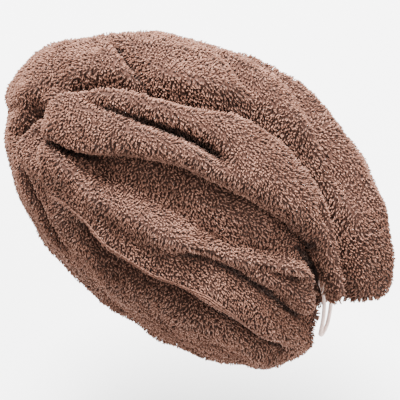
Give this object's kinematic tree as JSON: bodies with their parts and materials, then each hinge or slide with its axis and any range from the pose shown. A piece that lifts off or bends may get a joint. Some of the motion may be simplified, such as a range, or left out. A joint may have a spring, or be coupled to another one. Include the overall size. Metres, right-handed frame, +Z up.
{
  "type": "hair turban towel",
  "caption": "Terry hair-drying turban as worn: a hood for the head with its twisted tail laid back over the crown and held at the nape by an elastic loop on a hidden button.",
  "frame": {"origin": "the highest point inside the hood, where it rests on the crown of the head", "axes": "the wearer faces -Y, +X is the wearer's left, +Z is up"},
  "size_m": [0.1801, 0.2799, 0.1762],
  "materials": {
    "terry": "looped cotton pile",
    "elastic": "satin, slightly see-through",
    "plastic": "matte"
  },
  "bodies": {
    "root": {"hood": "terry", "tail": "terry", "elastic_loop": "elastic", "button": "plastic"}
  },
  "joints": []
}
